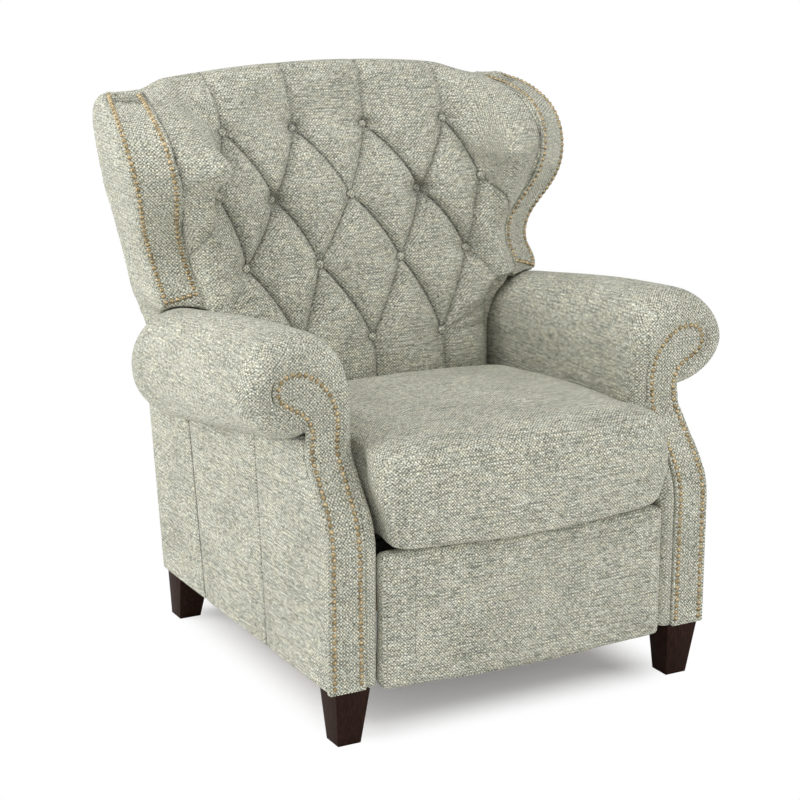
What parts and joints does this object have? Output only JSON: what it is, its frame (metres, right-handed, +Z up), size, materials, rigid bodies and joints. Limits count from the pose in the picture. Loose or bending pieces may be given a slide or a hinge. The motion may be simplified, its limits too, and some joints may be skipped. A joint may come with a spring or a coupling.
{
  "type": "recliner",
  "caption": "Wing-back push-back recliner with rolled arms, diamond-tufted back, loose seat cushion, fold-out footrest, nail-head trim and tapered legs.",
  "frame": {"origin": "on the floor under the middle of the chair", "axes": "+Z up, -Y the way a sitter faces, +X to the right as seen from the front"},
  "size_m": [0.9582, 0.9005, 1.0751],
  "materials": {
    "tweed": "light grey-green basket weave tweed with dark slate flecks",
    "espresso_wood": "dark espresso stain, satin",
    "antique_brass": "domed nail heads in antique brass",
    "frame_wood": "plain planed hardwood",
    "steel": "black satin painted steel",
    "webbing": "woven jute strap",
    "deck_cloth": "plain dark platform cloth over a thin pad"
  },
  "bodies": {
    "base": {"left_arm_frame": "frame_wood", "right_arm_frame": "frame_wood", "left_arm_pad": "tweed", "right_arm_pad": "tweed", "left_arm_facing": "tweed", "right_arm_facing": "tweed", "left_arm_nails": "antique_brass", "right_arm_nails": "antique_brass", "left_side_panel": "tweed", "right_side_panel": "tweed", "left_arm_rear_cover": "tweed", "right_arm_rear_cover": "tweed", "left_front_leg": "espresso_wood", "right_front_leg": "espresso_wood", "left_rear_leg": "espresso_wood", "right_rear_leg": "espresso_wood", "left_mounting_board": "frame_wood", "right_mounting_board": "frame_wood", "left_base_plate": "steel", "right_base_plate": "steel", "base_front_rail": "frame_wood", "base_rear_rail": "frame_wood", "lower_rear_panel": "tweed", "glide_pins": "steel"},
    "front_glides": {"front_glide_links": "steel", "front_glide_rod": "steel"},
    "rear_glides": {"rear_glide_links": "steel", "rear_glide_rod": "steel"},
    "seat": {"left_seat_plate": "steel", "right_seat_plate": "steel", "seat_frame": "frame_wood", "seat_springs": "steel", "seat_deck": "deck_cloth", "seat_cushion": "tweed", "footrest_pivot_pins": "steel", "back_hinge_pins": "steel"},
    "back": {"back_frame": "frame_wood", "back_webbing": "webbing", "back_panel": "tweed", "back_pad": "tweed", "tuft_buttons": "tweed", "left_wing": "tweed", "right_wing": "tweed", "left_wing_facing": "tweed", "right_wing_facing": "tweed", "left_wing_nails": "antique_brass", "right_wing_nails": "antique_brass", "left_back_bracket": "steel", "right_back_bracket": "steel"},
    "rear_footrest_arms": {"rear_footrest_links": "steel", "footrest_knee_rod": "steel"},
    "front_footrest_arms": {"front_footrest_links": "steel"},
    "footrest": {"footrest_pad": "tweed", "footrest_board": "frame_wood", "footrest_bracket_pins": "steel", "left_footrest_bracket": "steel", "right_footrest_bracket": "steel"}
  },
  "joints": [
    {"name": "recline", "type": "hinge", "parent": "base", "child": "front_glides", "pos_m": [0, -0.185, 0.19], "axis": [1, 0, 0], "range_deg": [0, 45]},
    {"name": "rear_glide", "type": "hinge", "parent": "base", "child": "rear_glides", "pos_m": [0, 0.045, 0.19], "axis": [1, 0, 0], "range_deg": [0, 45]},
    {"name": "seat_level", "type": "hinge", "parent": "front_glides", "child": "seat", "pos_m": [0, -0.11429, 0.27426], "axis": [1, 0, 0], "range_deg": [-45, 0]},
    {"name": "back_recline", "type": "hinge", "parent": "seat", "child": "back", "pos_m": [0, 0.2, 0.3], "axis": [-1, 0, 0], "range_deg": [0, 32]},
    {"name": "footrest_open", "type": "hinge", "parent": "seat", "child": "rear_footrest_arms", "pos_m": [0, -0.342, 0.3], "axis": [-1, 0, 0], "range_deg": [0, 110]},
    {"name": "footrest_knee", "type": "hinge", "parent": "rear_footrest_arms", "child": "front_footrest_arms", "pos_m": [0, -0.342, 0.13], "axis": [1, 0, 0], "range_deg": [0, 175]},
    {"name": "footrest_tilt", "type": "hinge", "parent": "front_footrest_arms", "child": "footrest", "pos_m": [0, -0.342, 0.3], "axis": [-1, 0, 0], "range_deg": [0, 155]}
  ],
  "couplings": [
    {"joint": "rear_glide", "follows": "recline", "ratio": 1},
    {"joint": "seat_level", "follows": "recline", "ratio": -1},
    {"joint": "back_recline", "follows": "recline", "ratio": 0.711},
    {"joint": "footrest_knee", "follows": "footrest_open", "ratio": 1.5909},
    {"joint": "footrest_tilt", "follows": "footrest_open", "ratio": 1.409}
  ]
}
